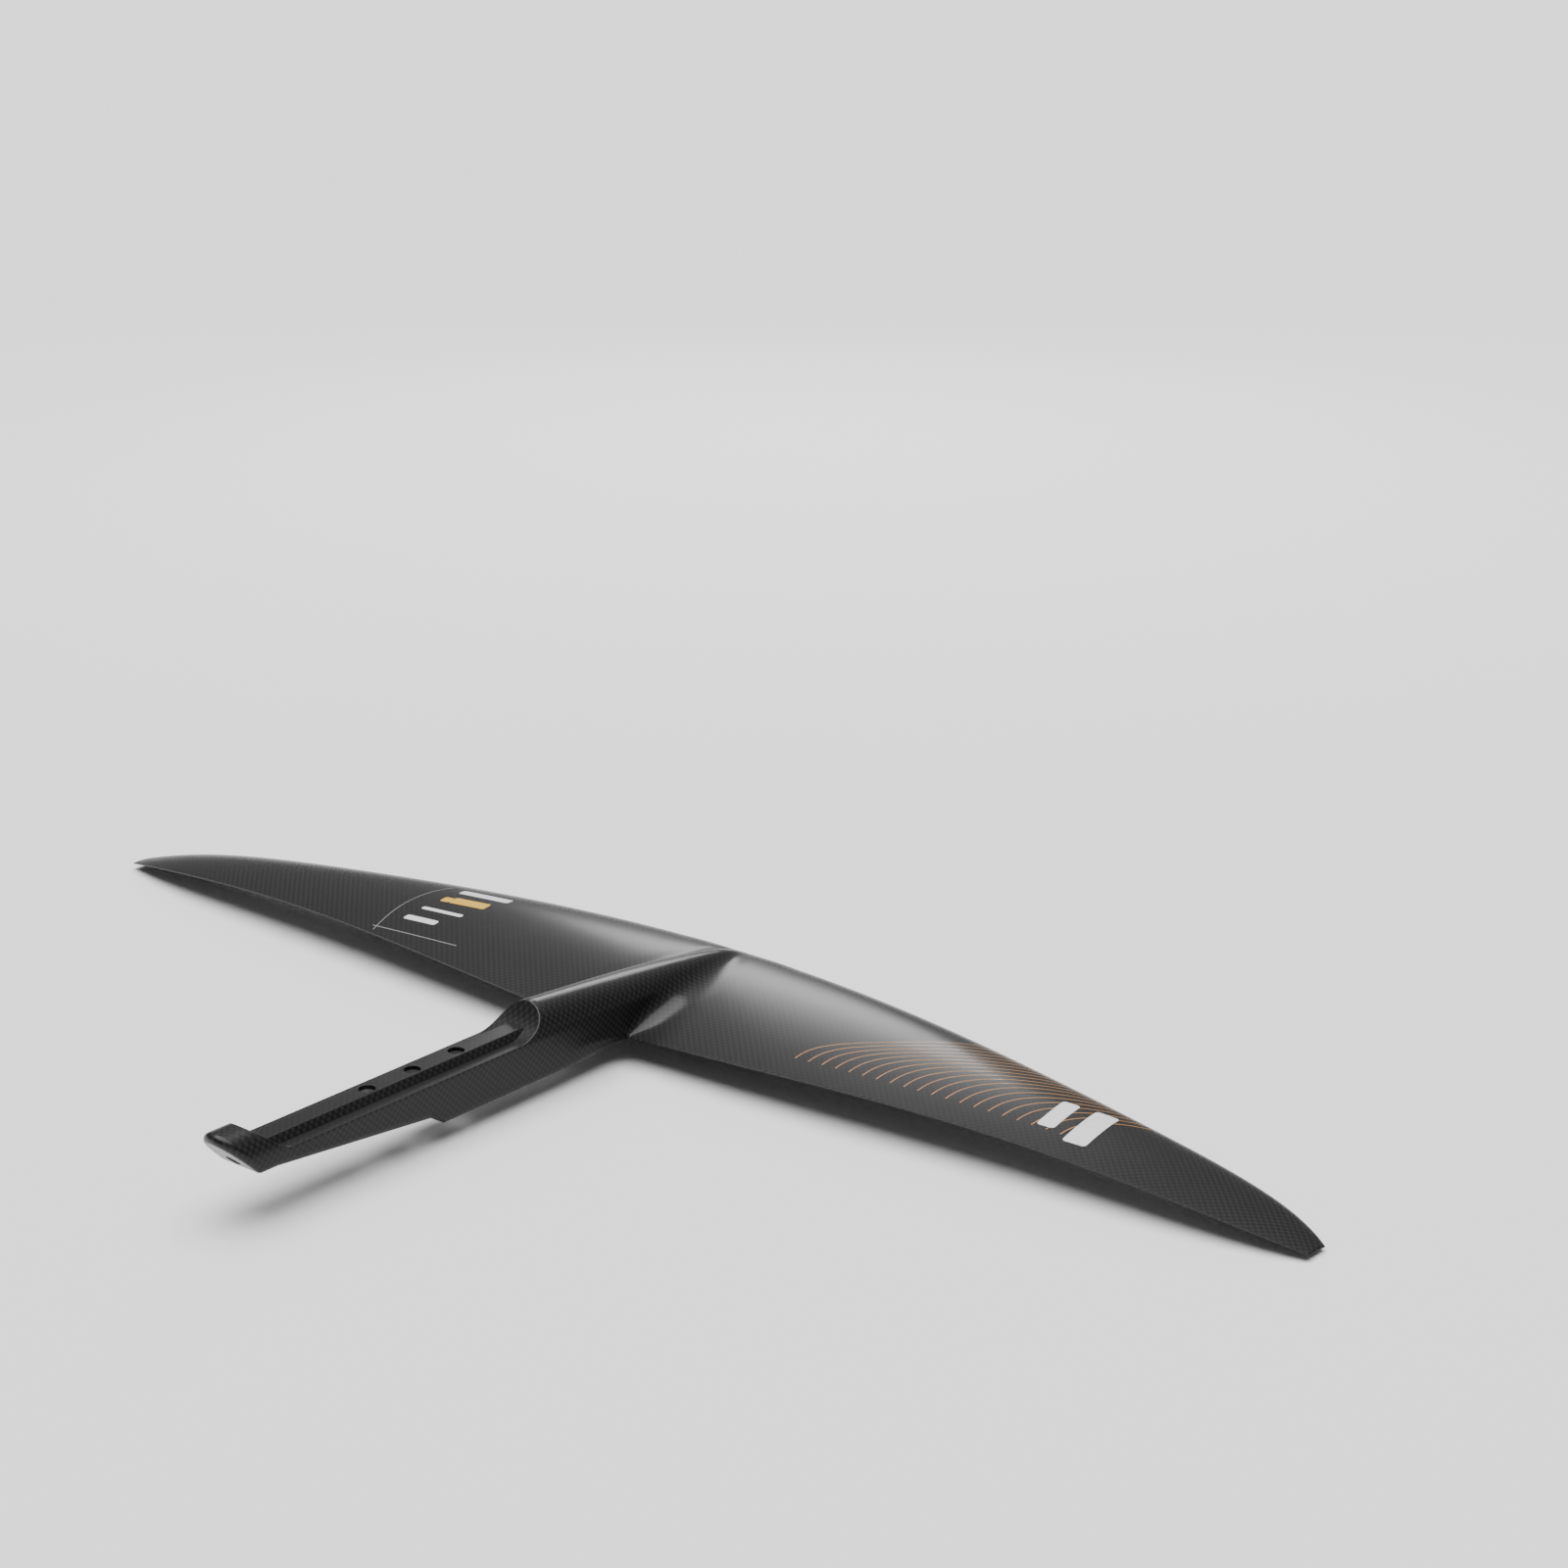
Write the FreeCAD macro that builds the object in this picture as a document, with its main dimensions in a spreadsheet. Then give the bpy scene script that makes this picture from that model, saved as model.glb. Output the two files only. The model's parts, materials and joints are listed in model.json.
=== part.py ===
import FreeCAD, Part
import math
import os
import Sketcher
from FreeCAD import Vector

# Front wing of a hydrofoil: a tip-to-tip wing, a fairing on its centre line, and behind it a tongue
# that the mast foot bolts on, ending in a hook.  The origin is the middle mast bolt hole, on the top
# face of the rib.  X runs along the span, Y points forward, Z is up.  Sizes are in millimetres.

os.makedirs("parts", exist_ok=True)
doc = FreeCAD.newDocument("hydrofoil_front_wing")

DIMENSIONS = (
    # planform and foil section
    ("half_span", 402.5),
    ("lead_reach", 248.0),
    ("lead_height", -16.3),
    ("lead_sweep", 103.5),
    ("lead_recover", 63.4),
    ("lead_tip_round", 28.0),
    ("droop_inner", 5.4),
    ("droop_outer", 14.3),
    ("trail_reach", 137.0),
    ("trail_sweep", 53.7),
    ("trail_recover", 56.0),
    ("trail_tip_round", 30.7),
    ("root_incidence", 0.068),
    ("washout", 0.151),
    ("root_thickness_ratio", 0.115),
    ("tip_thickness_ratio", 0.09),
    ("camber_ratio", 0.02),
    ("trail_edge_thickness", 0.7),
    # laminate and what it encloses
    ("skin_root", 1.2),
    ("skin_thinning", 0.45),
    ("cavity_span", 0.88),
    ("cap_ratio", 0.1),
    ("spar_front", 0.27),
    ("spar_back", 0.41),
    ("web_front", 0.33),
    ("web_back", 0.35),
    ("nose_fill_back", 0.09),
    ("trail_fill_width", 0.1),
    ("bond_line", 0.1),
    ("root_half_width", 16.0),
    # fuselage section
    ("body_half_width", 14.5),
    ("arch_top", 10.0),
    ("arch_spring", -5.8),
    ("body_floor", -27.7),
    ("corner_round", 4.0),
    ("shell_thickness", 1.6),
    ("belly_lowest", 78.0),
    ("belly_curve", 1582.0),
    ("nose_rise_start", 180.0),
    ("nose_depth", 9.3),
    ("belly_end", 204.0),
    ("ridge_fall", 20.6),
    ("ridge_run", 160.0),
    ("ridge_round_start", 225.0),
    ("narrowing_start", 130.0),
    # seat of the mast foot
    ("shelf_level", -4.1),
    ("cove_foot", 59.4),
    ("ramp_foot", -90.0),
    ("ramp_round", 12.0),
    ("ramp_slope", 38.0),
    ("seat_round", 23.8),
    ("seat_over", 4.0),
    ("rib_top_half", 5.1),
    ("rib_foot_half", 7.6),
    ("rib_back", -99.5),
    ("rib_root", 2.0),
    ("joint_front", 84.0),
    ("rim_round", 0.6),
    ("rib_edge_round", 0.7),
    ("joint_back", -90.0),
    # belly step, tapered underside and slanted end
    ("step_front", 8.5),
    ("step_lip", 1.2),
    ("step_back", 3.0),
    ("step_level", -22.7),
    ("taper_back", -99.5),
    ("taper_level", -12.0),
    ("end_top", -132.0),
    ("end_bottom", -110.0),
    ("end_round", 3.0),
    # fasteners' seats
    ("bolt_pitch", 30.0),
    ("bolt_hole", 8.5),
    ("sleeve_body", 12.0),
    ("sleeve_head", 18.0),
    ("sleeve_head_height", 5.0),
    ("sleeve_cover", 2.0),
    ("sleeve_recess", 1.2),
    ("screw_seat", 16.5),
    ("insert_outer", 8.0),
    ("insert_bore", 5.0),
    ("insert_length", 10.0),
    ("insert_drop", 17.0),
    ("insert_sink", 0.6),
)

sheet = doc.addObject("Spreadsheet::Sheet", "Dimensions")
for row, (alias, value) in enumerate(DIMENSIONS, start=1):
    sheet.set("A%d" % row, alias)
    sheet.set("B%d" % row, str(value))
    sheet.setAlias("B%d" % row, alias)
doc.recompute()


def size(alias):
    return float(sheet.get(alias))


HALF_SPAN = size("half_span")
STATIONS = (0.0, 0.09, 0.19, 0.3, 0.42, 0.54, 0.65, 0.75, 0.83, 0.88, 0.93, 0.97, 1.0)
CHORD_GAP = 0.001
CLEARANCE = 10.0
FULL_DEPTH = 40.0
CUT_ACROSS = 120.0
LONG_EDGE = 1.5
SHORTEST_RIM = 3.0
sub_parts = []


# ---------------------------------------------------------------- wing section by formula

def thickness_form(chordwise):
    """Half thickness of a four-digit section of unit thickness ratio, closed at the trailing edge."""
    root = 0.2969 * math.sqrt(chordwise)
    rest = 0.1260 + chordwise * (0.3516 + chordwise * (-0.2843 + chordwise * 0.1036))
    return 5.0 * (root - chordwise * rest)


def camber_form(chordwise, crest=0.4):
    """Height of a parabolic camber line of unit camber."""
    if chordwise < crest:
        return (2.0 * crest * chordwise - chordwise ** 2) / crest ** 2
    return (1.0 - 2.0 * crest + 2.0 * crest * chordwise - chordwise ** 2) / (1.0 - crest) ** 2


def lead_edge(span):
    """Leading edge at a span fraction: how far forward, and how high."""
    forward = size("lead_reach") - size("lead_sweep") * span ** 2
    forward += size("lead_recover") * span ** 4 - size("lead_tip_round") * span ** 12
    height = size("lead_height") - size("droop_inner") * span ** 2 - size("droop_outer") * span ** 4
    return forward, height


def trail_edge(span):
    forward = size("trail_reach") + size("trail_sweep") * span ** 2
    return forward - size("trail_recover") * span ** 4 + size("trail_tip_round") * span ** 8


def chord_length(span):
    return lead_edge(span)[0] - trail_edge(span)


def section_thickness(span):
    """Greatest thickness of the section at a span fraction."""
    ratio = size("root_thickness_ratio")
    ratio += (size("tip_thickness_ratio") - ratio) * span
    return ratio * chord_length(span)


def wing_point(station, chordwise, side, inset=0.0):
    """A point of the upper (side 1), lower (side -1) or camber (side 0) surface, moved in by inset."""
    span = abs(station)
    forward, height = lead_edge(span)
    chord = forward - trail_edge(span)
    incidence = size("root_incidence") - size("washout") * span
    height += chord * (size("camber_ratio") * camber_form(chordwise) - chordwise * incidence)
    half = section_thickness(span) * thickness_form(chordwise)
    half += size("trail_edge_thickness") / 2.0 * chordwise
    return Vector(station * HALF_SPAN, forward - chord * chordwise, height + side * (half - inset))


def skin_thickness(span):
    return size("skin_root") - size("skin_thinning") * span


def cavity_front(span):
    return 0.035 + 0.04 * span


def cavity_back(span):
    return 0.88 - 0.18 * span


def cavity_start(span):
    return cavity_front(span) + 2.0 * CHORD_GAP


def cavity_stop(span):
    return cavity_back(span) - 2.0 * CHORD_GAP


# ---------------------------------------------------------------- curves, lofts and cuts

def spaced(first, last, count):
    """Chordwise places between two fractions, closer together at both ends."""
    turns = [math.pi * k / (count - 1) for k in range(count)]
    return [first + (last - first) * (1.0 - math.cos(turn)) / 2.0 for turn in turns]


def smooth_edge(points):
    curve = Part.BSplineCurve()
    steps = [k / (len(points) - 1.0) for k in range(len(points))]
    curve.interpolate(Points=points, Parameters=steps)
    return curve.toShape()


def line_edge(start, end):
    return Part.LineSegment(start, end).toShape()


def both_wings(last=1.0):
    """Station fractions from the left tip to the right tip."""
    right = [station for station in STATIONS if station < last] + [last]
    return [-station for station in reversed(right[1:])] + right


def loft(wire_at, stations):
    return Part.makeLoft([wire_at(station) for station in stations], True, False)


def half_wire(station, side):
    """Section between the outer surface on one side and the camber surface."""
    outer = [wing_point(station, t, side) for t in spaced(0.0, 1.0, 25)]
    middle = [wing_point(station, t, 0) for t in reversed(spaced(0.0, 1.0, 13))]
    half = size("trail_edge_thickness") / 2.0
    middle[0] = outer[-1] - Vector(0.0, 0.0, side * half)
    return Part.Wire([smooth_edge(outer), line_edge(outer[-1], middle[0]), smooth_edge(middle)])


def outer_wire(station):
    """The whole outer section."""
    upper = [wing_point(station, t, 1) for t in spaced(0.0, 1.0, 25)]
    lower = [wing_point(station, t, -1) for t in reversed(spaced(0.0, 1.0, 25))]
    return Part.Wire([smooth_edge(upper), line_edge(upper[-1], lower[0]), smooth_edge(lower)])


def layer_edge(station, side, front, back, inset):
    """One edge along the chord, at a depth under the outer surface."""
    points = [wing_point(station, t, side, inset) for t in spaced(front, back, 13)]
    return smooth_edge(points)


def closed_wire(edges):
    """Joins edges that follow each other, with straight links where they don't meet."""
    chain = []
    for k, edge in enumerate(edges):
        chain.append(edge)
        here = edge.valueAt(edge.LastParameter)
        following = edges[(k + 1) % len(edges)]
        there = following.valueAt(following.FirstParameter)
        if here.distanceToPoint(there) > 1e-6:
            chain.append(line_edge(here, there))
    return Part.Wire(chain)


def backwards(station, side, front, back, inset):
    points = [wing_point(station, t, side, inset) for t in reversed(spaced(front, back, 13))]
    return smooth_edge(points)


def cavity_wire(station):
    """The hollow between the two skins."""
    span = abs(station)
    skin = skin_thickness(span)
    front = cavity_front(span)
    back = cavity_back(span)
    top = layer_edge(station, 1, front, back, skin)
    bottom = backwards(station, -1, front, back, skin)
    return closed_wire([top, bottom])


def band_wire(station, bands):
    """Section of a piece inside the hollow.  Each band has a front, a back and a depth in spar caps."""
    span = abs(station)
    tops = []
    bottoms = []
    for front, back, caps in bands:
        inset = skin_thickness(span) + size("bond_line")
        inset += caps * (size("cap_ratio") * section_thickness(span) + size("bond_line"))
        tops.append(layer_edge(station, 1, front(span), back(span), inset))
        bottoms.insert(0, backwards(station, -1, front(span), back(span), inset))
    return closed_wire(tops + bottoms)


def cap_wire(station, side):
    """Section of a spar cap, which lies under the skin on one side."""
    span = abs(station)
    shallow = skin_thickness(span) + size("bond_line")
    deep = shallow + size("cap_ratio") * section_thickness(span)
    front = size("spar_front") + 2.0 * CHORD_GAP
    back = size("spar_back") - 2.0 * CHORD_GAP
    outer = layer_edge(station, side, front, back, shallow)
    inner = backwards(station, side, front, back, deep)
    return closed_wire([outer, inner])


def fixed(alias, shift=0.0):
    value = size(alias) + shift
    return lambda span: value


def core_end(span):
    """Chord fraction where the rear core stops and the solid trailing wedge starts."""
    return cavity_back(span) - size("trail_fill_width")


def just_after(place):
    return lambda span: place(span) + CHORD_GAP


def largest(shape):
    """The biggest solid of a boolean's result, which may carry slivers."""
    solids = sorted(shape.Solids, key=lambda solid: solid.Volume)
    return solids[-1]


def add_shape(name, shape):
    feature = doc.addObject("Part::Feature", name)
    feature.Label = name
    feature.Shape = shape
    feature.Placement = FreeCAD.Placement()
    sub_parts.append(feature)
    return feature


# ---------------------------------------------------------------- skins and inner structure

full_span = both_wings()
wing_solid = loft(outer_wire, full_span)
cavity = loft(cavity_wire, both_wings(size("cavity_span")))
add_shape("upper_skin", loft(lambda station: half_wire(station, 1), full_span).cut(cavity))
add_shape("lower_skin", loft(lambda station: half_wire(station, -1), full_span).cut(cavity))

spar_stations = both_wings(size("cavity_span") - 0.01)
add_shape("spar_cap_upper", loft(lambda station: cap_wire(station, 1), spar_stations))
add_shape("spar_cap_lower", loft(lambda station: cap_wire(station, -1), spar_stations))
web_bands = ((fixed("web_front", CHORD_GAP), fixed("web_back", -CHORD_GAP), 1),)
add_shape("shear_web", loft(lambda station: band_wire(station, web_bands), spar_stations))

SIDE_PIECES = (
    ("nose_tow", ((cavity_start, fixed("nose_fill_back"), 0),)),
    ("core_front", (
        (fixed("nose_fill_back", CHORD_GAP), fixed("spar_front"), 0),
        (fixed("spar_front"), fixed("web_front"), 1),
    )),
    ("core_rear", (
        (fixed("web_back"), fixed("spar_back"), 1),
        (fixed("spar_back"), core_end, 0),
    )),
    ("trailing_wedge", ((just_after(core_end), cavity_stop, 0),)),
)
ROOT_BLOCKS = (
    ("root_block_front", (
        (cavity_start, fixed("spar_front"), 0),
        (fixed("spar_front"), fixed("web_front"), 1),
    )),
    ("root_block_rear", (
        (fixed("web_back"), fixed("spar_back"), 1),
        (fixed("spar_back"), cavity_stop, 0),
    )),
)
root_edge = size("root_half_width") / HALF_SPAN
block_edge = (size("root_half_width") - size("bond_line")) / HALF_SPAN
outboard = [root_edge] + spar_stations[len(spar_stations) // 2 + 1:]
for name, bands in SIDE_PIECES:
    for sign, word in ((-1, "left"), (1, "right")):
        stations = sorted(sign * station for station in outboard)
        add_shape(name + "_" + word, loft(lambda station: band_wire(station, bands), stations))
for name, bands in ROOT_BLOCKS:
    stations = [block_edge * step for step in (-1.0, -0.5, 0.0, 0.5, 1.0)]
    add_shape(name, loft(lambda station: band_wire(station, bands), stations))


# ---------------------------------------------------------------- fairing on the centre line

def belly_level(forward):
    """Underside of the fuselage: a shallow curve, then a rise to the leading edge."""
    if forward < size("trail_reach"):
        return size("body_floor") + (forward - size("belly_lowest")) ** 2 / size("belly_curve")
    start = size("nose_rise_start")
    along = max(0.0, (forward - start) / (size("lead_reach") - start))
    return size("lead_height") - size("nose_depth") * (1.0 - along ** 2)


def ridge_level(forward):
    """Top line of the fairing: it falls from the arch to the leading edge, and rounds off there."""
    along = max(0.0, (forward - size("joint_front")) / size("ridge_run"))
    level = size("arch_top") - size("ridge_fall") * (0.7 * along + 0.3 * along ** 4)
    rounding = size("ridge_round_start")
    if forward > rounding:
        near = (forward - rounding) / (size("lead_reach") - rounding)
        level = size("lead_height") + (level - size("lead_height")) * math.sqrt(1.0 - near ** 2)
    return level


def body_half_width(forward):
    """Half width of the fuselage: constant at the back, a quarter ellipse towards the nose."""
    start = size("narrowing_start")
    along = max(0.0, (forward - start) / (size("lead_reach") + 1.0 - start))
    return size("body_half_width") * math.sqrt(1.0 - along ** 2)


def body_wire(forward, inset=0.0):
    """Cross-section of the fuselage: flat floor, rounded corners, upright sides and an arch."""
    wide = body_half_width(forward) - inset
    floor = belly_level(forward) + inset
    top = ridge_level(forward) - inset
    full_height = size("arch_top") - size("body_floor")
    arch_share = (size("arch_top") - size("arch_spring")) / full_height
    spring = ridge_level(forward) - arch_share * (ridge_level(forward) - belly_level(forward))
    corner = min(size("corner_round") - inset / 2.0, 0.4 * wide, 0.4 * (spring - floor))
    quarter = [math.pi / 2.0 * k / 8.0 for k in range(9)]
    turns = [math.pi * k / 24.0 for k in range(25)]
    right = []
    left = []
    for turn in quarter:
        across = wide - corner + corner * math.sin(turn)
        height = floor + corner - corner * math.cos(turn)
        right.append(Vector(across, forward, height))
        left.append(Vector(-across, forward, height))
    arch = [Vector(wide * math.cos(a), forward, spring + (top - spring) * math.sin(a)) for a in turns]
    left.reverse()
    edges = [smooth_edge(right), line_edge(right[-1], arch[0]), smooth_edge(arch)]
    edges += [line_edge(arch[-1], left[0]), smooth_edge(left), line_edge(left[-1], right[0])]
    return Part.Wire(edges)


FAIRING_STEPS = (0.0, 12.0, 26.0, 40.0, 54.0, 68.0, 82.0, 96.0, 110.0, 124.0, 136.0, 146.0, 154.0, 160.0)
first_place = size("joint_front")
wall = size("shell_thickness")
gap = size("bond_line")
inner_steps = [step + wall for step in FAIRING_STEPS[:-1]]
fairing_outer = loft(lambda step: body_wire(first_place + step), FAIRING_STEPS)
fairing_inner = loft(lambda step: body_wire(first_place + step, wall), inner_steps)
under_nose = Part.makeBox(
    CUT_ACROSS, CUT_ACROSS, FULL_DEPTH,
    Vector(-CUT_ACROSS / 2.0, size("belly_end"), size("lead_height") - FULL_DEPTH))
fairing_walls = fairing_outer.cut(fairing_inner).cut(wing_solid).cut(under_nose)
add_shape("fairing_shell", largest(fairing_walls))
fairing_filling = loft(lambda step: body_wire(first_place + step, wall + gap), inner_steps)
add_shape("fairing_core", largest(fairing_filling.cut(wing_solid)))


# ---------------------------------------------------------------- sketches for the solid tongue and hook

def new_body(name):
    body = doc.addObject("PartDesign::Body", name)
    body.Label = name
    body.Placement = FreeCAD.Placement()
    sub_parts.append(body)
    return body


def plane_of(body, role):
    for feature in body.Origin.OriginFeatures:
        if feature.Role == role:
            return feature
    raise RuntimeError("no plane " + role)


def new_sketch(body, name, role, offset=None):
    sketch = body.newObject("Sketcher::SketchObject", name)
    sketch.AttachmentSupport = [(plane_of(body, role), "")]
    sketch.MapMode = "FlatFace"
    if offset is not None:
        sketch.AttachmentOffset = FreeCAD.Placement(Vector(0.0, 0.0, offset), FreeCAD.Rotation())
    return sketch


def bind_point(sketch, geometry, end, across, up):
    """Ties a sketch point's two coordinates to expressions on the sheet."""
    for kind, expression in (("DistanceX", across), ("DistanceY", up)):
        if expression is None:
            continue
        where = sketch.getPoint(geometry, end)
        present = where.x if kind == "DistanceX" else where.y
        index = sketch.addConstraint(Sketcher.Constraint(kind, geometry, end, present))
        sketch.setExpression("Constraints[%d]" % index, expression)


def polygon(sketch, corners):
    """Closed outline of straight edges; each corner is ((value, value), (expression, expression))."""
    points = [Vector(place[0], place[1], 0.0) for place, expressions in corners]
    count = len(points)
    for k in range(count):
        sketch.addGeometry(Part.LineSegment(points[k], points[(k + 1) % count]), False)
    for k in range(count):
        sketch.addConstraint(Sketcher.Constraint("Coincident", k, 2, (k + 1) % count, 1))
    for k, (place, expressions) in enumerate(corners):
        bind_point(sketch, k, 1, expressions[0], expressions[1])


def circle(sketch, centre, expressions, diameter_alias):
    geometry = sketch.addGeometry(Part.Circle(Vector(centre[0], centre[1], 0.0), Vector(0, 0, 1), 5.0))
    bind_point(sketch, geometry, 3, expressions[0], expressions[1])
    index = sketch.addConstraint(Sketcher.Constraint("Diameter", geometry, size(diameter_alias)))
    sketch.setExpression("Constraints[%d]" % index, "Dimensions." + diameter_alias)


def arch_outline(sketch):
    """Outline of the body's cross-section: floor, rounded corners, straight sides, half an ellipse."""
    wide = size("body_half_width")
    spring = size("arch_spring")
    floor = size("body_floor")
    corner = size("corner_round")
    upright = Vector(0, 0, 1)
    crown = Vector(0.0, size("arch_top"), 0.0)
    ellipse = Part.Ellipse(crown, Vector(wide, spring, 0.0), Vector(0.0, spring, 0.0))
    right = Part.Circle(Vector(wide - corner, floor + corner, 0.0), upright, corner)
    left = Part.Circle(Vector(corner - wide, floor + corner, 0.0), upright, corner)
    pieces = (
        Part.LineSegment(Vector(wide, spring, 0.0), Vector(wide, floor + corner, 0.0)),
        Part.ArcOfCircle(right, -math.pi / 2.0, 0.0),
        Part.LineSegment(Vector(wide - corner, floor, 0.0), Vector(corner - wide, floor, 0.0)),
        Part.ArcOfCircle(left, math.pi, 1.5 * math.pi),
        Part.LineSegment(Vector(-wide, floor + corner, 0.0), Vector(-wide, spring, 0.0)),
        Part.ArcOfEllipse(ellipse, -math.pi / 2.0, math.pi / 2.0),
    )
    for number, piece in enumerate(pieces):
        sketch.addGeometry(piece, False)
        sketch.addConstraint(Sketcher.Constraint("Block", number))


def pad_between(body, sketch, name, front, back):
    """Pads a cross-section sketch that stands on the front joint, back to another place."""
    pad = body.newObject("PartDesign::Pad", name)
    pad.Profile = sketch
    pad.setExpression("Length", "Dimensions.%s - Dimensions.%s" % (front, back))
    return pad


def through_pocket(body, sketch, name):
    """Cuts a side outline right across the body, both ways."""
    pocket = body.newObject("PartDesign::Pocket", name)
    pocket.Profile = sketch
    pocket.Midplane = True
    pocket.Length = CUT_ACROSS
    return pocket


def expect_cut(feature, before, what):
    doc.recompute()
    if not feature.Shape.Volume < before - 1.0:
        raise RuntimeError(what + " cuts nothing")
    return feature.Shape.Volume


def seat_outline(sketch):
    """Side outline of the mast foot's seat: ramp, flat shelf, round cove, closed above the body."""
    shelf = size("shelf_level")
    cove = size("cove_foot")
    ramp = size("ramp_foot")
    top = size("arch_top") + size("seat_over")
    cove_radius = size("seat_round")
    cove_turn = math.acos((cove_radius - (top - shelf)) / cove_radius)
    cove_top = cove + cove_radius * math.sin(cove_turn)
    ramp_radius = size("ramp_round")
    slope = math.radians(size("ramp_slope"))
    bend_rise = ramp_radius * (1.0 - math.cos(slope))
    bend_end = Vector(ramp - ramp_radius * math.sin(slope), shelf + bend_rise, 0.0)
    ramp_top = bend_end.x - (top - bend_end.y) / math.tan(slope)
    down = -math.pi / 2.0
    upright = Vector(0, 0, 1)
    cove_circle = Part.Circle(Vector(cove, shelf + cove_radius, 0.0), upright, cove_radius)
    ramp_circle = Part.Circle(Vector(ramp, shelf + ramp_radius, 0.0), upright, ramp_radius)
    pieces = (
        Part.LineSegment(Vector(ramp, shelf, 0.0), Vector(cove, shelf, 0.0)),
        Part.ArcOfCircle(cove_circle, down, down + cove_turn),
        Part.LineSegment(Vector(cove_top, top, 0.0), Vector(ramp_top, top, 0.0)),
        Part.LineSegment(Vector(ramp_top, top, 0.0), bend_end),
        Part.ArcOfCircle(ramp_circle, down - slope, down),
    )
    for piece in pieces:
        sketch.addGeometry(piece, False)
    for first, second in ((0, 1), (1, 2), (2, 3), (4, 0)):
        sketch.addConstraint(Sketcher.Constraint("Coincident", first, 2, second, 1))
    sketch.addConstraint(Sketcher.Constraint("Tangent", 3, 2, 4, 1))
    bind_point(sketch, 0, 1, "Dimensions.ramp_foot", "Dimensions.shelf_level")
    bind_point(sketch, 0, 2, "Dimensions.cove_foot", "Dimensions.shelf_level")
    bind_point(sketch, 1, 3, "Dimensions.cove_foot", "Dimensions.shelf_level + Dimensions.seat_round")
    bind_point(sketch, 4, 3, "Dimensions.ramp_foot", "Dimensions.shelf_level + Dimensions.ramp_round")
    bind_point(sketch, 1, 2, None, "Dimensions.arch_top + Dimensions.seat_over")
    bind_point(sketch, 3, 1, None, "Dimensions.arch_top + Dimensions.seat_over")


def underside_outline(sketch):
    """Side outline of what is cut away under the tongue: the belly step and the rising taper."""
    low = size("body_floor") - CLEARANCE
    back = size("end_top") - CLEARANCE
    low_word = "Dimensions.body_floor - %s" % CLEARANCE
    back_word = "Dimensions.end_top - %s" % CLEARANCE
    lip = size("body_floor") + size("step_lip")
    corners = (
        ((size("step_front"), lip), ("Dimensions.step_front", "Dimensions.body_floor + Dimensions.step_lip")),
        ((size("step_back"), size("step_level")), ("Dimensions.step_back", "Dimensions.step_level")),
        ((size("taper_back"), size("taper_level")), ("Dimensions.taper_back", "Dimensions.taper_level")),
        ((back, size("taper_level")), (back_word, "Dimensions.taper_level")),
        ((back, low), (back_word, low_word)),
        ((size("step_front"), low), ("Dimensions.step_front", low_word)),
    )
    polygon(sketch, corners)


def round_edges(body, name, radius_alias, chosen):
    """Fillets the edges of the body's tip that the test chooses."""
    base = body.Tip
    names = ["Edge%d" % (k + 1) for k, edge in enumerate(base.Shape.Edges) if chosen(edge)]
    fillet = body.newObject("PartDesign::Fillet", name)
    fillet.Base = (base, names)
    fillet.setExpression("Radius", "Dimensions." + radius_alias)
    doc.recompute()
    return fillet


def long_bottom(edge):
    """True for the lengthwise edges between the sides and the tapered underside."""
    box = edge.BoundBox
    middle = edge.valueAt((edge.FirstParameter + edge.LastParameter) / 2.0)
    on_side = abs(abs(middle.x) - size("body_half_width")) < 0.02
    on_taper = middle.y < size("step_back") and abs(middle.z - underside_at(middle.y)) < 0.02
    return on_side and on_taper and box.YLength > LONG_EDGE


# ---------------------------------------------------------------- tongue with its rib and bolt holes

def underside_at(forward):
    """Height of the tongue's underside along its middle."""
    if forward > size("step_back"):
        return size("body_floor")
    if forward < size("taper_back"):
        return size("taper_level")
    share = (forward - size("taper_back")) / (size("step_back") - size("taper_back"))
    return size("taper_level") + share * (size("step_level") - size("taper_level"))


def seat_level(forward):
    """Height of the seat's surface: the flat shelf, the cove in front of it and the ramp behind."""
    shelf = size("shelf_level")
    if forward > size("cove_foot"):
        reach = forward - size("cove_foot")
        return shelf + size("seat_round") - math.sqrt(max(0.0, size("seat_round") ** 2 - reach ** 2))
    slope = math.radians(size("ramp_slope"))
    reach = size("ramp_foot") - forward
    bend = size("ramp_round") * math.sin(slope)
    if reach > bend:
        return shelf + size("ramp_round") * (1.0 - math.cos(slope)) + (reach - bend) * math.tan(slope)
    if reach > 0.0:
        return shelf + size("ramp_round") - math.sqrt(size("ramp_round") ** 2 - reach ** 2)
    return shelf


def arch_level(across):
    """Height of the arch at a distance from the centre line."""
    share = min(1.0, abs(across) / size("body_half_width"))
    rise = size("arch_top") - size("arch_spring")
    return size("arch_spring") + rise * math.sqrt(1.0 - share ** 2)


def follows(edge, test):
    """True where the test holds at three places along an edge."""
    span = edge.LastParameter - edge.FirstParameter
    return all(test(edge.valueAt(edge.FirstParameter + span * share)) for share in (0.2, 0.5, 0.8))


def on_seat_rim(edge):
    """True for the edges where the seat cuts the outside of the arch."""
    def on_both(point):
        return abs(point.z - seat_level(point.y)) < 0.02 and abs(point.z - arch_level(point.x)) < 0.02
    return edge.Length > SHORTEST_RIM and follows(edge, on_both)


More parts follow.
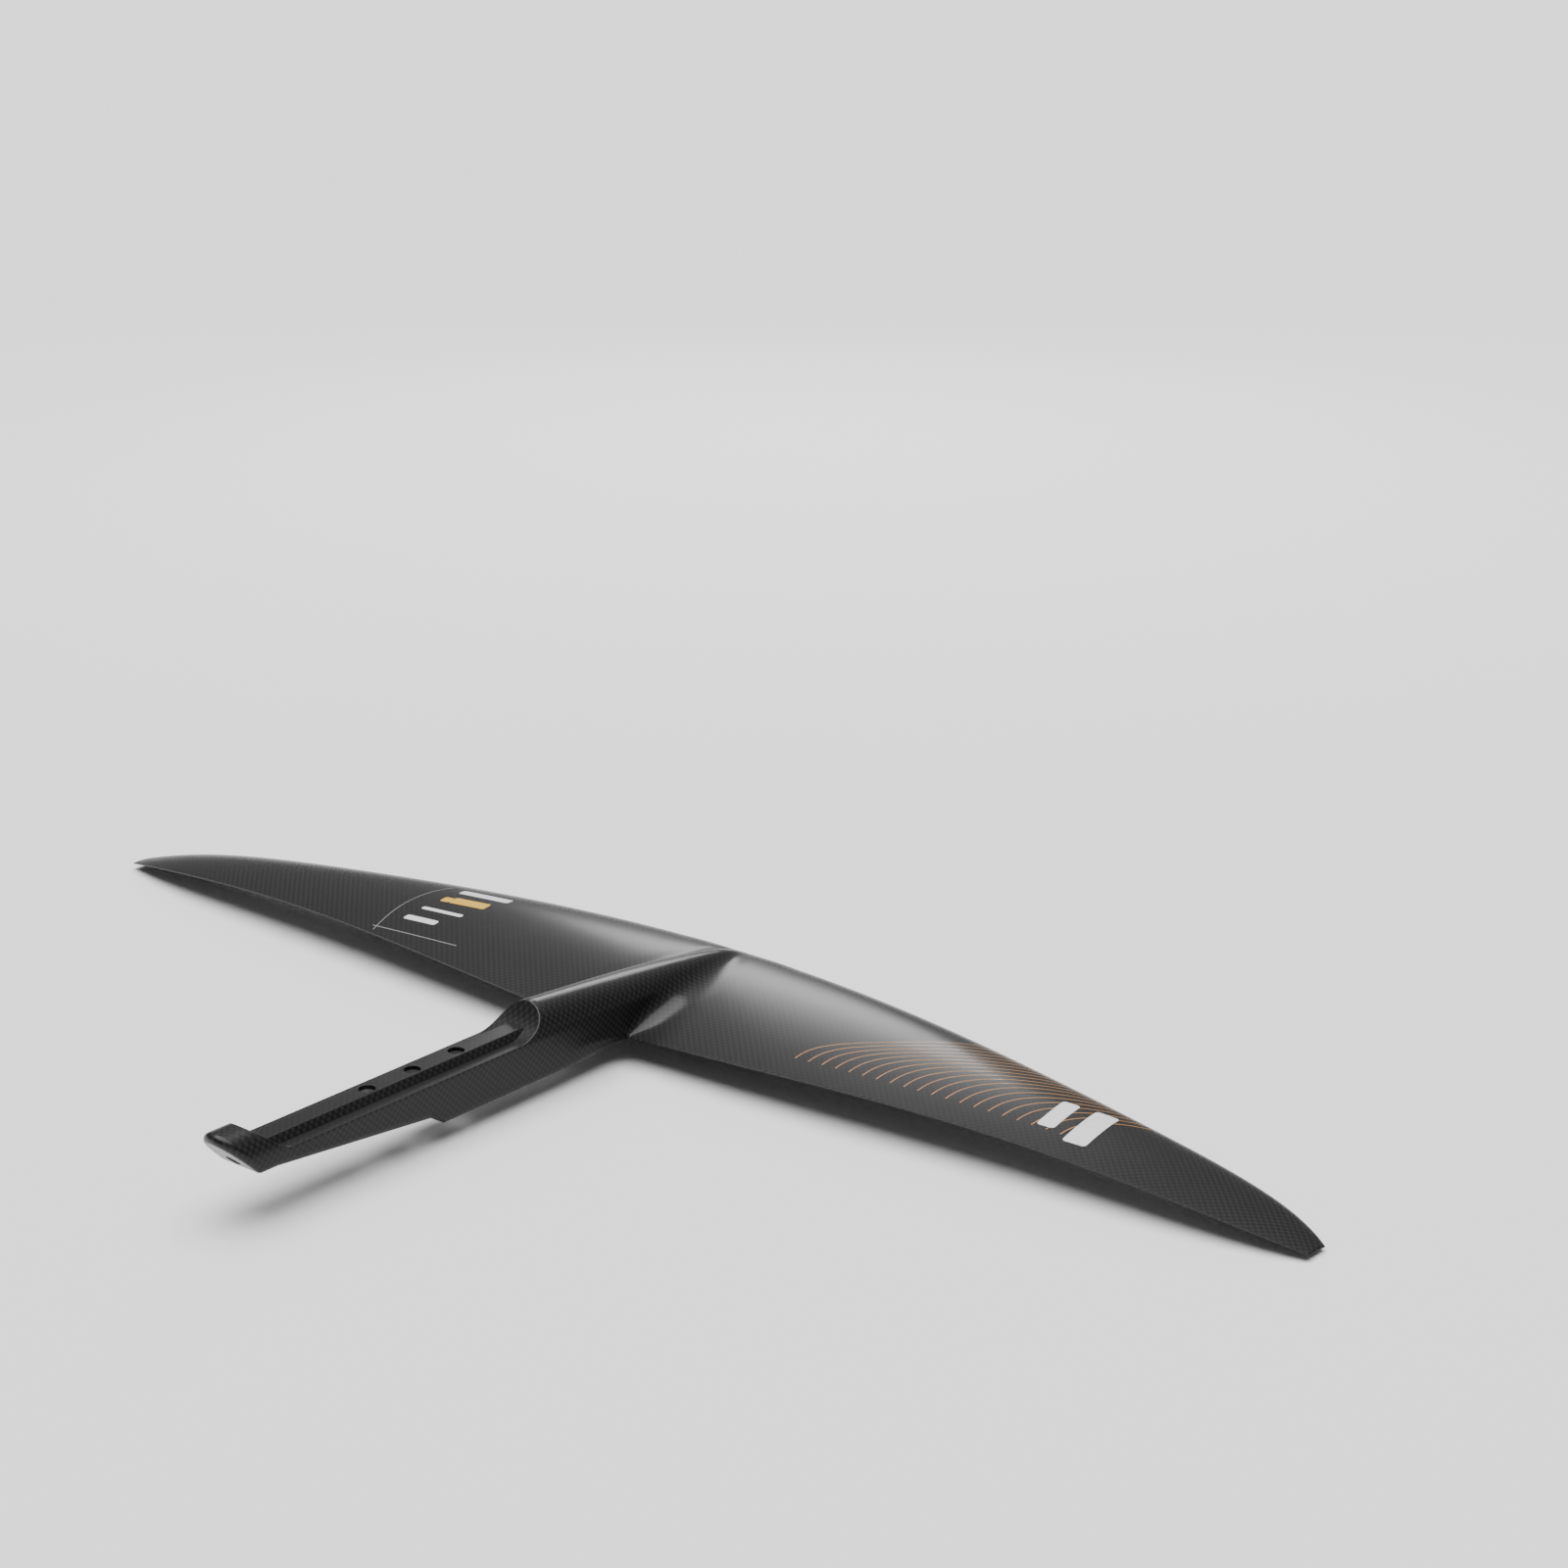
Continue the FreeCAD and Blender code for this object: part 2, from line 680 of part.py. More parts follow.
def rib_outline(sketch):
    """Cross-section of the rib: sloping sides, a flat top and rounded upper edges."""
    shelf = size("shelf_level")
    root = shelf - size("rib_root")
    foot = size("rib_foot_half")
    radius = size("rib_edge_round")
    slope = math.atan2(-shelf, foot - size("rib_top_half"))
    reach = radius * math.tan(slope / 2.0)
    flat = size("rib_top_half") - reach
    side_x = size("rib_top_half") + reach * math.cos(slope)
    side_z = -reach * math.sin(slope)
    corners = ((-foot, root), (foot, root), (foot, shelf), (side_x, side_z))
    corners += ((flat, 0.0), (-flat, 0.0), (-side_x, side_z), (-foot, shelf))
    points = [Vector(x, z, 0.0) for x, z in corners]
    for k, point in enumerate(points):
        following = points[(k + 1) % len(points)]
        if k in (3, 5):
            centre = Vector(math.copysign(flat, point.x), -radius, 0.0)
            half_way = centre + ((point + following) * 0.5 - centre).normalize() * radius
            sketch.addGeometry(Part.Arc(point, half_way, following), False)
        else:
            sketch.addGeometry(Part.LineSegment(point, following), False)
    for k in range(len(points)):
        sketch.addConstraint(Sketcher.Constraint("Block", k))


def add_rib(body, name, front, back):
    """Adds a length of rib to a body, and gives back the body's volume."""
    section = new_sketch(body, name + "Section", "XZ_Plane", -size(front))
    rib_outline(section)
    doc.recompute()
    pad = pad_between(body, section, name + "Pad", front, back)
    doc.recompute()
    return pad.Shape.Volume


def round_bore(body, name, level, step, diameter, depth, volume):
    """Bores down from a level at one of the bolt places, and gives back the volume that is left."""
    outline = new_sketch(body, name, "XY_Plane", level)
    circle(outline, (0.0, step * size("bolt_pitch")), (None, "%d * Dimensions.bolt_pitch" % step), diameter)
    outline.addConstraint(Sketcher.Constraint("PointOnObject", 0, 3, -2))
    doc.recompute()
    bore = body.newObject("PartDesign::Pocket", name + "Bore")
    bore.Profile = outline
    bore.Length = depth
    return expect_cut(bore, volume, name)


def make_tongue():
    body = new_body("tongue_block")
    section = new_sketch(body, "TongueSection", "XZ_Plane", -size("joint_front"))
    arch_outline(section)
    doc.recompute()
    pad = pad_between(body, section, "TonguePad", "joint_front", "joint_back")
    doc.recompute()
    volume = pad.Shape.Volume
    under = new_sketch(body, "TongueUnderside", "YZ_Plane")
    underside_outline(under)
    doc.recompute()
    expect_cut(through_pocket(body, under, "UndersidePocket"), volume, "the underside")
    volume = round_edges(body, "BottomCorners", "corner_round", long_bottom).Shape.Volume
    seat = new_sketch(body, "TongueSeat", "YZ_Plane")
    seat_outline(seat)
    doc.recompute()
    expect_cut(through_pocket(body, seat, "SeatPocket"), volume, "the seat")
    round_edges(body, "SeatRim", "rim_round", on_seat_rim)
    volume = add_rib(body, "Rib", "joint_front", "joint_back")
    for number, step in enumerate((-1, 0, 1), start=1):
        forward = step * size("bolt_pitch")
        cuts = (
            ("BoltHole%d" % number, None, "bolt_hole", size("sleeve_cover") + 1.0),
            ("SleeveSeat%d" % number, -size("sleeve_cover"), "sleeve_body", FULL_DEPTH),
            ("HeadSeat%d" % number, head_top(forward), "sleeve_head", FULL_DEPTH),
        )
        for name, level, diameter, depth in cuts:
            volume = round_bore(body, name, level, step, diameter, depth, volume)
    return body


def head_top(forward):
    """Upper face of a sleeve's head, which sits just inside the underside."""
    return underside_at(forward) + size("sleeve_recess") + size("sleeve_head_height")


def make_sleeves():
    """Three metal sleeves with countersunk heads that the mast screws bear on, as one group."""
    solids = []
    half = size("bolt_hole") / 2.0
    neck = size("sleeve_body") / 2.0
    head = size("sleeve_head") / 2.0
    cone = size("screw_seat") / 2.0
    top = -size("sleeve_cover")
    for step in (-1, 0, 1):
        forward = step * size("bolt_pitch")
        shoulder = head_top(forward)
        bottom = shoulder - size("sleeve_head_height")
        outline = (
            (half, top), (neck, top), (neck, shoulder), (head, shoulder),
            (head, bottom), (cone, bottom), (half, bottom + cone - half),
        )
        points = [Vector(radius, forward, height) for radius, height in outline]
        face = Part.Face(Part.makePolygon(points + points[:1]))
        solids.append(face.revolve(Vector(0.0, forward, 0.0), Vector(0.0, 0.0, 1.0), 360.0))
    add_shape("mast_sleeves", Part.makeCompound([Part.Solid(solid) for solid in solids]))


# ---------------------------------------------------------------- tail hook and its threaded insert

def end_slope():
    """Unit vector that points out of the slanted end face, aft and down."""
    run = size("end_bottom") - size("end_top")
    drop = size("arch_top") - size("taper_level")
    length = math.hypot(run, drop)
    return Vector(0.0, -drop / length, -run / length)


def insert_mouth():
    """Centre of the threaded hole in the slanted end face."""
    run = size("end_bottom") - size("end_top")
    drop = size("arch_top") - size("taper_level")
    share = size("insert_drop") / drop
    return Vector(0.0, size("end_top") + run * share, size("arch_top") - size("insert_drop"))


def make_hook():
    body = new_body("tail_hook")
    section = new_sketch(body, "HookSection", "XZ_Plane", -size("joint_back"))
    arch_outline(section)
    doc.recompute()
    pad = pad_between(body, section, "HookPad", "joint_back", "end_top")
    doc.recompute()
    volume = pad.Shape.Volume
    seat = new_sketch(body, "HookSeat", "YZ_Plane")
    seat_outline(seat)
    doc.recompute()
    volume = expect_cut(through_pocket(body, seat, "RampPocket"), volume, "the ramp")
    volume = round_edges(body, "RampRim", "rim_round", on_seat_rim).Shape.Volume
    under = new_sketch(body, "HookUnderside", "YZ_Plane")
    underside_outline(under)
    doc.recompute()
    expect_cut(through_pocket(body, under, "HookUnderPocket"), volume, "the hook's underside")
    volume = round_edges(body, "HookCorners", "corner_round", long_bottom).Shape.Volume
    end = new_sketch(body, "SlantedEnd", "YZ_Plane")
    below = size("body_floor") - CLEARANCE
    back = size("end_top") - CLEARANCE
    below_word = "Dimensions.body_floor - %s" % CLEARANCE
    back_word = "Dimensions.end_top - %s" % CLEARANCE
    polygon(end, (
        ((size("end_top"), size("arch_top")), ("Dimensions.end_top", "Dimensions.arch_top")),
        ((size("end_bottom"), size("taper_level")), ("Dimensions.end_bottom", "Dimensions.taper_level")),
        ((size("end_bottom"), below), ("Dimensions.end_bottom", below_word)),
        ((back, below), (back_word, below_word)),
        ((back, size("arch_top")), (back_word, "Dimensions.arch_top")),
    ))
    doc.recompute()
    expect_cut(through_pocket(body, end, "EndPocket"), volume, "the slanted end")
    add_rib(body, "RibEnd", "joint_back", "rib_back")
    outward = end_slope()

    def on_end_face(edge):
        middle = edge.valueAt((edge.FirstParameter + edge.LastParameter) / 2.0)
        reach = (middle - insert_mouth()).dot(outward)
        ends = [abs((vertex.Point - insert_mouth()).dot(outward)) for vertex in edge.Vertexes]
        return abs(reach) < 0.05 and max(ends) < 0.05

    round_edges(body, "EndRounding", "end_round", on_end_face)
    bored = body.Tip.Shape.Volume
    drill = new_sketch(body, "InsertSeat", "XY_Plane")
    turn = FreeCAD.Rotation(Vector(0.0, 0.0, 1.0), outward)
    drill.AttachmentOffset = FreeCAD.Placement(insert_mouth(), turn)
    circle(drill, (0.0, 0.0), (None, None), "insert_outer")
    drill.addConstraint(Sketcher.Constraint("Coincident", 0, 3, -1, 1))
    doc.recompute()
    seat_bore = body.newObject("PartDesign::Pocket", "InsertBore")
    seat_bore.Profile = drill
    seat_bore.setExpression("Length", "Dimensions.insert_length")
    expect_cut(seat_bore, bored, "the insert's bore")
    return body


def make_insert():
    """Metal insert with the thread that pulls the tail in, its mouth just inside the end face."""
    body = new_body("tail_insert")
    outward = end_slope()
    turn = FreeCAD.Rotation(Vector(0.0, 0.0, 1.0), outward)
    base = insert_mouth() - outward * size("insert_sink")
    ring = new_sketch(body, "InsertOutline", "XY_Plane")
    circle(ring, (0.0, 0.0), (None, None), "insert_outer")
    circle(ring, (0.0, 0.0), (None, None), "insert_bore")
    ring.addConstraint(Sketcher.Constraint("Coincident", 0, 3, -1, 1))
    ring.addConstraint(Sketcher.Constraint("Coincident", 1, 3, -1, 1))
    doc.recompute()
    pad = body.newObject("PartDesign::Pad", "InsertPad")
    pad.Profile = ring
    pad.Reversed = True
    pad.setExpression("Length", "Dimensions.insert_length - Dimensions.insert_sink")
    doc.recompute()
    body.Placement = FreeCAD.Placement(base, turn)
    return body


make_tongue()
make_sleeves()
make_hook()
make_insert()


# ---------------------------------------------------------------- test every object, then write the parts

doc.recompute()
for item in doc.Objects:
    if "Invalid" in item.State or "Error" in item.State:
        raise RuntimeError("%s is %s" % (item.Name, item.State))
for part in sub_parts:
    shape = part.Shape
    if shape.isNull() or not shape.isValid() or not shape.Solids:
        raise RuntimeError(part.Label + " has no valid solid")
    shape.exportStep("parts/%s.step" % part.Label)
    box = shape.BoundBox
    print("%-24s solids %d volume %9.0f x %7.1f %7.1f y %7.1f %7.1f z %6.1f %6.1f" % (
        part.Label, len(shape.Solids), shape.Volume,
        box.XMin, box.XMax, box.YMin, box.YMax, box.ZMin, box.ZMax))
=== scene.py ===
import json
import math

import bmesh
import bpy
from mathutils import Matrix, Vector


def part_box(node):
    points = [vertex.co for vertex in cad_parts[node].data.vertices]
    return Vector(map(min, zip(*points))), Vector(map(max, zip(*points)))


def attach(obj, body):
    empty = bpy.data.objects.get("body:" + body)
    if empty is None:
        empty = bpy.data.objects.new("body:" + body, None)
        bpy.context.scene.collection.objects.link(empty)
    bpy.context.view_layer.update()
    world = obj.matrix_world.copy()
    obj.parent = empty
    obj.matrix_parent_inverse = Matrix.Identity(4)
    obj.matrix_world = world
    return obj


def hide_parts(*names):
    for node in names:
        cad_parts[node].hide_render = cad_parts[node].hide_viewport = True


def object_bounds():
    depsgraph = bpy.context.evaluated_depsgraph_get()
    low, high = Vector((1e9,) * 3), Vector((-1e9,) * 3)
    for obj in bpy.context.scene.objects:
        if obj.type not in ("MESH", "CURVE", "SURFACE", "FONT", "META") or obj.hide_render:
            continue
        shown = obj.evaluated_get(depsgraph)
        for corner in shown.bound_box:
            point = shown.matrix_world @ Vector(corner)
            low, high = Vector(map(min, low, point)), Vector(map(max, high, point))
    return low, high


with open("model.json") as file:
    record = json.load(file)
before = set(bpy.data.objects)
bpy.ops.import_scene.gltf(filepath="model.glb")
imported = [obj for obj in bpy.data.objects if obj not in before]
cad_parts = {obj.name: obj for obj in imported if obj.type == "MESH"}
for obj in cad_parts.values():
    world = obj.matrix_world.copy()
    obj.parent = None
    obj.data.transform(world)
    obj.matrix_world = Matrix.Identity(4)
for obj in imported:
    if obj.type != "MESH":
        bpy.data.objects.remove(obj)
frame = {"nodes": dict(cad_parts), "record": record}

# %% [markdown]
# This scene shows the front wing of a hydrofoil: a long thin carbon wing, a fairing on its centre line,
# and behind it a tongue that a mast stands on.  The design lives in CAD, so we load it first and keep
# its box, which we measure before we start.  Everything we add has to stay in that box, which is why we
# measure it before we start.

cad_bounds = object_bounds()
MM = 0.001
print("CAD box in metres:", cad_bounds)

# %% [markdown]
# The wing is all smooth curves, so we describe it by formulas, as its designer would.  A span share of
# 0 is the centre line and 1 is the tip.  Both edges are even powers of it, so left and right match and
# the edges cross the centre line square.  The numbers are those of the CAD design, in millimetres, and
# the widths come from the CAD pieces themselves.

# %% Plan of the wing
HALF_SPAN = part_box("upper_skin")[1][0] / MM
BODY_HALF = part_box("tongue_block")[1][0] / MM
NOSE_Y = 248.0
TAIL_Y = 137.0
ROOT_Z = -16.3
LEAD_SWEEP = ((2, -103.5), (4, 63.4), (12, -28.0))
LEAD_DROP = ((2, -5.4), (4, -14.3))
TRAIL_SWEEP = ((2, 53.7), (4, -56.0), (8, 30.7))
SHARE_FADE = 26.0


def smooth_step(value):
    """Runs from 0 to 1 with a soft start and a soft end."""
    value = min(1.0, max(0.0, value))
    return value * value * (3.0 - 2.0 * value)


def power_curve(share, terms):
    return sum(amount * share ** power for power, amount in terms)


def span_share(x):
    """Share of the span, held at zero across the body so that the body's rows stay straight."""
    return x / HALF_SPAN * smooth_step((x - BODY_HALF) / SHARE_FADE)


def lead_edge(share):
    """Forward place and height of the leading edge."""
    return NOSE_Y + power_curve(share, LEAD_SWEEP), ROOT_Z + power_curve(share, LEAD_DROP)


def trail_edge(share):
    return TAIL_Y + power_curve(share, TRAIL_SWEEP)


print("half span", round(HALF_SPAN, 1), "root chord", round(NOSE_Y - TAIL_Y, 1), "in mm")

# %% [markdown]
# Across the chord the wing has the classic four-digit aerofoil section: a thickness curve laid on each
# side of a camber curve.  The root is tilted nose up.  Toward the tips the section gets thinner and its
# tilt turns nose down.  The tip closes with a round edge, and the tail ends in a strip 0.7 mm thick,
# because a knife edge would chip.

# %% Section of the wing
AEROFOIL = (0.2969, 0.126, 0.3516, -0.2843, 0.1036)
CAMBER = 0.02
CREST = 0.4
ROOT_TILT = 0.068
TIP_UNTILT = 0.151
ROOT_THICKNESS = 0.115
TIP_THINNING = 0.025
TRAIL_HALF = 0.35
TIP_CAP = 0.9975
STRIP_FADE = 4.0


def thickness_form(t):
    root, first, second, third, fourth = AEROFOIL
    return 5.0 * (root * math.sqrt(t) - t * (first + t * (second + t * (third + t * fourth))))


def camber_form(t):
    if t < CREST:
        return (2.0 * CREST * t - t * t) / CREST ** 2
    return (1.0 - 2.0 * CREST + 2.0 * CREST * t - t * t) / (1.0 - CREST) ** 2


def wing_place(x, t, side):
    """Point of the wing's surface: side 1 is the top, -1 the bottom; t runs from nose to tail."""
    share = span_share(x)
    forward, height = lead_edge(share)
    chord = forward - trail_edge(share)
    height += chord * (CAMBER * camber_form(t) - t * (ROOT_TILT - TIP_UNTILT * share))
    half = (ROOT_THICKNESS - TIP_THINNING * share) * chord * thickness_form(t) + TRAIL_HALF * t
    if share > TIP_CAP:
        half *= math.sqrt(max(0.0, 1.0 - ((share - TIP_CAP) / (1.0 - TIP_CAP)) ** 2))
    if t >= 1.0:
        half *= smooth_step((x - BODY_HALF) / STRIP_FADE)
    return Vector((x, forward - chord * t, height + side * half))


print("root is", round(2.0 * ROOT_THICKNESS * (NOSE_Y - TAIL_Y) * thickness_form(0.3), 1), "mm thick")

# %% [markdown]
# The body in the middle has an arched top, upright sides and a rounded belly.  Its ridge falls gently
# and then drops onto the leading edge.  The belly rises to meet it, and the sides draw together like
# the bow of a boat.  Square roots give these curves their round ends.  A soft crease carries the line of
# the trailing edge back along the side.

# %% Long lines of the body
JOINT_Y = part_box("tongue_block")[1][1] / MM
RIDGE_Z = 10.0
RIDGE_FALL = 20.6
RIDGE_RUN = 160.0
RIDGE_STEADY = 0.7
RIDGE_ROUND_Y = 225.0
BELLY_Z = -27.7
BELLY_LOW_Y = 78.0
BELLY_CURVE = 1582.0
BELLY_RISE_Y = 160.0
BOW_START_Y = 130.0
CREASE_Z = -18.7
CREASE_START_Y = 99.0
CREASE_RUN = 38.0
CREASE_FALL = 4.56
BULGE = 0.9
BULGE_START_Y = 92.0
BULGE_RUN = 40.0


def bow_share(y, start, end):
    """One at the start, falling to zero at the end as a quarter of an ellipse does."""
    near = min(1.0, max(0.0, (y - start) / (end - start)))
    return math.sqrt(1.0 - near ** 2)


def ridge_level(y):
    along = max(0.0, (y - JOINT_Y) / RIDGE_RUN)
    level = RIDGE_Z - RIDGE_FALL * (RIDGE_STEADY * along + (1.0 - RIDGE_STEADY) * along ** 4)
    return ROOT_Z + (level - ROOT_Z) * bow_share(y, RIDGE_ROUND_Y, NOSE_Y)


def belly_level(y):
    shallow = BELLY_Z + (min(y, TAIL_Y) - BELLY_LOW_Y) ** 2 / BELLY_CURVE
    return ROOT_Z + (shallow - ROOT_Z) * bow_share(y, BELLY_RISE_Y, NOSE_Y)


def body_half(y):
    return BODY_HALF * bow_share(y, BOW_START_Y, NOSE_Y + 1.0)


def crease_level(y):
    return CREASE_Z - CREASE_FALL * max(0.0, (y - CREASE_START_Y) / CREASE_RUN) ** 3


def crease_bulge(y):
    return BULGE * smooth_step((y - BULGE_START_Y) / BULGE_RUN)


print("ridge falls from", round(ridge_level(JOINT_Y), 1), "to", round(ridge_level(NOSE_Y), 1), "mm")

# %% [markdown]
# Where the body meets the wing there is a soft hollow, like the one between a finger and the hand.  A
# boolean union would leave a hard seam there.  We draw each cross-section as one line instead: down the
# arch, round the hollow and out along the wing.  Three helpers do it: one for the arch, one for a bend
# that leaves and arrives in set directions, and one that spreads points evenly along a line.

# %% Lines for a cross-section
ARCH_SHARE = 15.8 / 37.7
ARCH_STEPS = 64
BEND_REACH = 0.42
DOWN = Vector((0.0, -1.0))
UP = Vector((0.0, 1.0))
OUTWARD = Vector((1.0, 0.0))


def along_line(points, count):
    """Places spread evenly along a line of points."""
    lengths = [0.0]
    for start, end in zip(points, points[1:]):
        lengths.append(lengths[-1] + (end - start).length)
    found = []
    k = 0
    for step in range(count + 1):
        target = lengths[-1] * step / count
        while k < len(points) - 2 and lengths[k + 1] < target:
            k += 1
        stretch = lengths[k + 1] - lengths[k]
        share = (target - lengths[k]) / stretch if stretch > 0.0 else 0.0
        found.append(points[k].lerp(points[k + 1], min(1.0, max(0.0, share))))
    return found


def bend(start, start_way, end, end_way, count):
    """Smooth bend between two places, leaving and arriving along the two directions."""
    reach = (end - start).length * BEND_REACH
    first = start + start_way.normalized() * reach
    last = end - end_way.normalized() * reach
    found = []
    for step in range(count + 1):
        u = step / count
        v = 1.0 - u
        found.append(start * v ** 3 + first * (3 * u * v * v) + last * (3 * u * u * v) + end * u ** 3)
    return found


def arch_line(y, top, low):
    """The arch and the upright side below it, from the ridge down to a height."""
    half = body_half(y)
    spring = top - ARCH_SHARE * max(0.01, top - belly_level(y))
    points = []
    for step in range(ARCH_STEPS + 1):
        turn = math.pi / 2.0 * step / ARCH_STEPS
        height = spring + (top - spring) * math.cos(turn)
        if height < low:
            share = (points[-1].y - low) / max(1e-6, points[-1].y - height)
            points.append(points[-1].lerp(Vector((half * math.sin(turn), height)), share))
            return points
        points.append(Vector((half * math.sin(turn), height)))
    points.append(Vector((half, low)))
    return points


print("the arch is", round(ARCH_SHARE, 2), "of the body's height")

# %% [markdown]
# A section has a fixed number of points wherever it is cut, so that neighbouring sections can be woven
# together.  The hollow is widest at mid-chord and closes to nothing at the tail, where the side of the
# body runs straight down into the trailing edge.  Near the nose the body sinks into the wing; a rounded
# maximum of the two heights makes it fade there instead of ending in a step.

# %% Sections of body and hollow
ARCH_COUNT = 24
HOLLOW_COUNT = 12
INNER_COUNT = ARCH_COUNT + HOLLOW_COUNT
FLAT_COUNT = 10
FLOOR_CORNER = 4.0
LEAST_FLAT = 0.3
TAIL_TURN = 0.985
HOLLOW_REACH = 20.0
HOLLOW_GROWTH = 0.35
HOLLOW_POWER = 0.7
NOSE_REACH = 0.25
SOFT_RISE = 0.4
LOW_HOLLOW = 6.0
MORE_HOLLOW = 4.0
HOLLOW_RUN = 0.15
MOST_HOLLOW = 0.6


def edge_reach(t):
    """Where the hollow ends and the plain wing begins, as a distance from the centre line."""
    y = wing_place(0.0, t, 1).y
    growth = min(1.0, ((1.0 - t) / HOLLOW_GROWTH) ** HOLLOW_POWER)
    forward = NOSE_REACH + (1.0 - NOSE_REACH) * min(1.0, t / 0.5)
    return body_half(y) + crease_bulge(min(y, TAIL_Y)) + HOLLOW_REACH * growth * forward


def wing_way(x_end, t, side, tail):
    """Direction in which a section runs onto the wing; it turns upright at the tail."""
    rise = wing_place(x_end + 1.0, t, side).z - wing_place(x_end, t, side).z
    return Vector((1.0, rise)).lerp(DOWN if side > 0 else UP, tail)


def upper_section(t):
    """Line from the ridge to the plain wing, at one share of the chord."""
    middle = wing_place(0.0, t, 1)
    rise = ridge_level(middle.y) - middle.z
    rise = max(0.0, 0.5 * (rise + math.sqrt(rise * rise + SOFT_RISE * t * (1.0 - t))))
    tail = smooth_step((t - TAIL_TURN) / (1.0 - TAIL_TURN))
    x_end = edge_reach(t)
    end = wing_place(x_end, t, 1)
    hollow = min(LOW_HOLLOW + MORE_HOLLOW * min(1.0, (1.0 - t) / HOLLOW_RUN), MOST_HOLLOW * rise)
    base = end.z * tail + middle.z * (1.0 - tail)
    arch = along_line(arch_line(middle.y, middle.z + rise, base + hollow), ARCH_COUNT)
    down = arch[-1] - arch[-2]
    way = wing_way(x_end, t, 1, tail)
    return arch + bend(arch[-1], down, Vector((x_end, end.z)), way, HOLLOW_COUNT)[1:]


def flat_floor(half, level):
    return [Vector((half * step / FLAT_COUNT, level)) for step in range(FLAT_COUNT)]


def lower_section(t):
    """Line from the middle of the belly to the plain wing's underside."""
    middle = wing_place(0.0, t, -1)
    low = min(belly_level(middle.y), middle.z)
    x_end = edge_reach(t)
    end = Vector((x_end, wing_place(x_end, t, -1).z))
    half = body_half(middle.y)
    flat = max(LEAST_FLAT * half, half - FLOOR_CORNER)
    tail = smooth_step((t - TAIL_TURN) / (1.0 - TAIL_TURN))
    way = wing_way(x_end, t, -1, tail)
    turn = bend(Vector((flat, low)), OUTWARD, end, way, INNER_COUNT - FLAT_COUNT)
    return flat_floor(flat, low) + turn


print("the hollow reaches", round(edge_reach(0.5), 1), "mm out at mid-chord")

# %% [markdown]
# A flat grid is the simplest woven sheet.  We make one with as many squares as we need and move each
# corner by its column and row.  The mesh is then all quads, which shade evenly under a gloss coat.  Rows
# lie closer at the nose and the tail, and columns closer at the tip, because the surface bends most there.

# %% Grids that follow a formula
SPAN_COUNT = 120
CHORD_COUNT = 56
TOTAL_COUNT = INNER_COUNT + SPAN_COUNT
TIP_COLUMNS = 0.95
TIP_CROWDING = 1.35
NOSE_BLEND = 0.012


def woven(bm, columns, rows, place):
    """Adds a grid whose corners are moved to place(column, row)."""
    before = set(bm.verts)
    bmesh.ops.create_grid(bm, x_segments=columns, y_segments=rows, size=1.0)
    for vert in [vert for vert in bm.verts if vert not in before]:
        column = round((vert.co.x + 1.0) / 2.0 * columns)
        row = round((vert.co.y + 1.0) / 2.0 * rows)
        vert.co = place(column, row)


def chord_share(row):
    return 0.5 * (1.0 - math.cos(math.pi * row / CHORD_COUNT))


def span_x(column, start):
    """Place of a column of the plain wing; the last few lie within the tip's rounding."""
    share = (column - INNER_COUNT) / SPAN_COUNT
    if share > TIP_COLUMNS:
        turn = (share - TIP_COLUMNS) / (1.0 - TIP_COLUMNS) * math.pi / 2.0
        return HALF_SPAN * (TIP_CAP + (1.0 - TIP_CAP) * math.sin(turn))
    crowded = 1.0 - (1.0 - share / TIP_COLUMNS) ** TIP_CROWDING
    return start + (HALF_SPAN * TIP_CAP - start) * crowded


def sheet_place(lines, side):
    """Formula for one side of the wing, with the body's sections woven into its inner columns."""
    def place(column, row):
        t = chord_share(row)
        if column >= INNER_COUNT:
            return wing_place(span_x(column, edge_reach(t)), t, side)
        point = lines[row][column]
        near_nose = max(0.0, 1.0 - t / NOSE_BLEND)
        x = point.x * (1.0 - near_nose) + edge_reach(t) * column / INNER_COUNT * near_nose
        flat = wing_place(x, t, side)
        height = point.y * (1.0 - near_nose) + flat.z * near_nose
        return Vector((x, flat.y, height))
    return place


upper_lines = [upper_section(chord_share(row)) for row in range(CHORD_COUNT + 1)]
lower_lines = [lower_section(chord_share(row)) for row in range(CHORD_COUNT + 1)]
print("each side has", TOTAL_COUNT, "columns and", CHORD_COUNT, "rows")

# %% [markdown]
# Behind the wing's tail the body goes on alone to its joint with the tongue.  Its last row uses the very
# points of the wing's tail row, so the two sheets weld without a gap.  At the joint the section is the
# tongue's own, which hides the change from one piece to the next.

# %% Body behind the wing, and the tail strip
BODY_ROWS = 44
CREASE_HOLLOW = 6.0
BULGE_LOW_START = 120.0
BULGE_LOW_RUN = 17.0
CORNER_STEPS = 24


def tail_row(column):
    """Last row of the body, taken from the wing's two tail lines."""
    if column <= INNER_COUNT:
        return upper_lines[-1][column]
    return lower_lines[-1][2 * INNER_COUNT - column]


def side_line(y):
    """Arch, side and crease of the body behind the wing."""
    crease = Vector((BODY_HALF + crease_bulge(y), crease_level(y)))
    arch = along_line(arch_line(y, ridge_level(y), crease.y + CREASE_HOLLOW), ARCH_COUNT)
    return arch + bend(arch[-1], DOWN, crease, DOWN, HOLLOW_COUNT)[1:]


